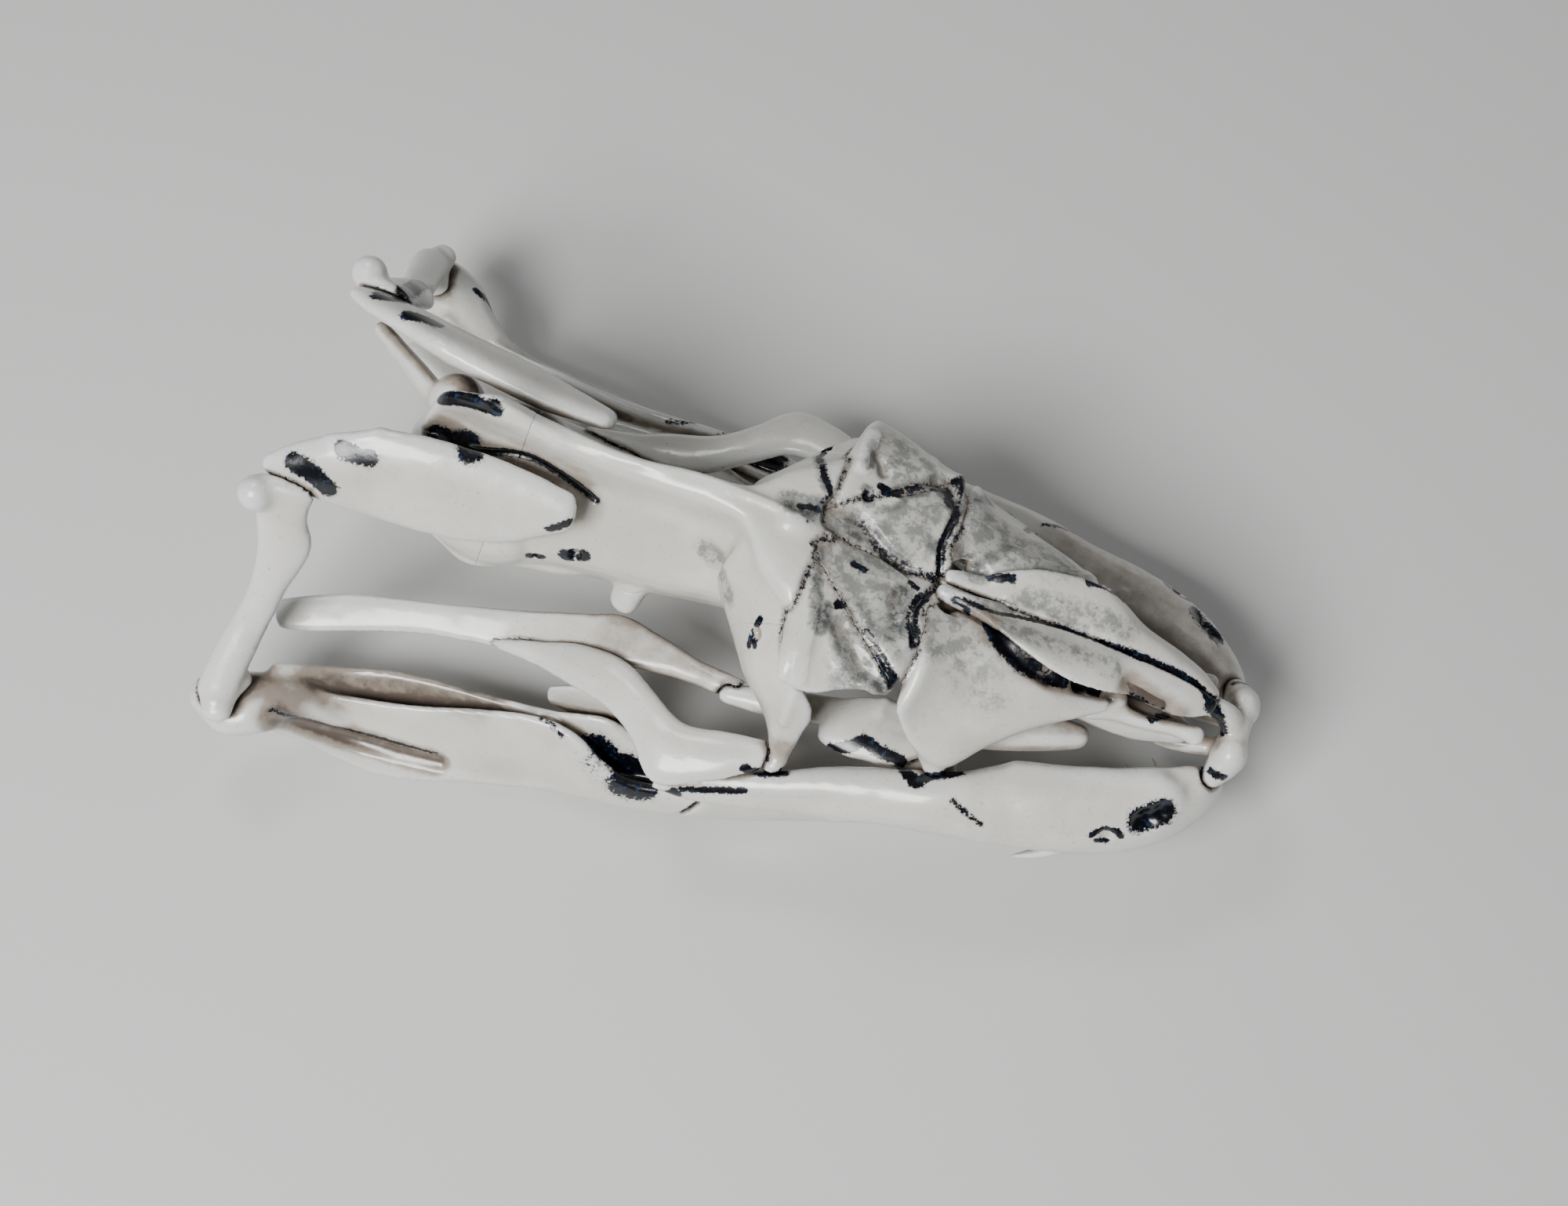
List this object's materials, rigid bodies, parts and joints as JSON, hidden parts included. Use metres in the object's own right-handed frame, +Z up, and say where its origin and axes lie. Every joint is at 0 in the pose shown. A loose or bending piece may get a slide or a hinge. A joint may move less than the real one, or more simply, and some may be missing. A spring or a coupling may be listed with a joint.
{
  "type": "python skull",
  "caption": "Life-size museum model of a large python's skull with its lower jaws in place and the mouth closed, each bone a solid of its own.",
  "frame": {"origin": "on the floor, below the middle of the skull's length, on its midline", "axes": "+X towards the snout, +Y to the animal's left, +Z up"},
  "size_m": [0.1376, 0.0812, 0.0524],
  "materials": {
    "painted_bone": "glossy ivory paint with blue-black wash in seams and hollows"
  },
  "bodies": {
    "root": {"basisphenoid": "painted_bone", "compound_bone_left": "painted_bone", "compound_bone_right": "painted_bone", "coronoid_left": "painted_bone", "coronoid_right": "painted_bone", "dentary_left": "painted_bone", "dentary_right": "painted_bone", "ectopterygoid_left": "painted_bone", "ectopterygoid_right": "painted_bone", "frontal_left": "painted_bone", "frontal_right": "painted_bone", "maxilla_left": "painted_bone", "maxilla_right": "painted_bone", "nasal_left": "painted_bone", "nasal_right": "painted_bone", "occiput": "painted_bone", "palatine_left": "painted_bone", "palatine_right": "painted_bone", "parietal": "painted_bone", "postorbital_left": "painted_bone", "postorbital_right": "painted_bone", "prefrontal_left": "painted_bone", "prefrontal_right": "painted_bone", "premaxilla": "painted_bone", "pterygoid_left": "painted_bone", "pterygoid_right": "painted_bone", "quadrate_left": "painted_bone", "quadrate_right": "painted_bone", "septomaxilla_left": "painted_bone", "septomaxilla_right": "painted_bone", "supraorbital_left": "painted_bone", "supraorbital_right": "painted_bone", "supratemporal_left": "painted_bone", "supratemporal_right": "painted_bone", "vomer_left": "painted_bone", "vomer_right": "painted_bone"}
  },
  "joints": []
}
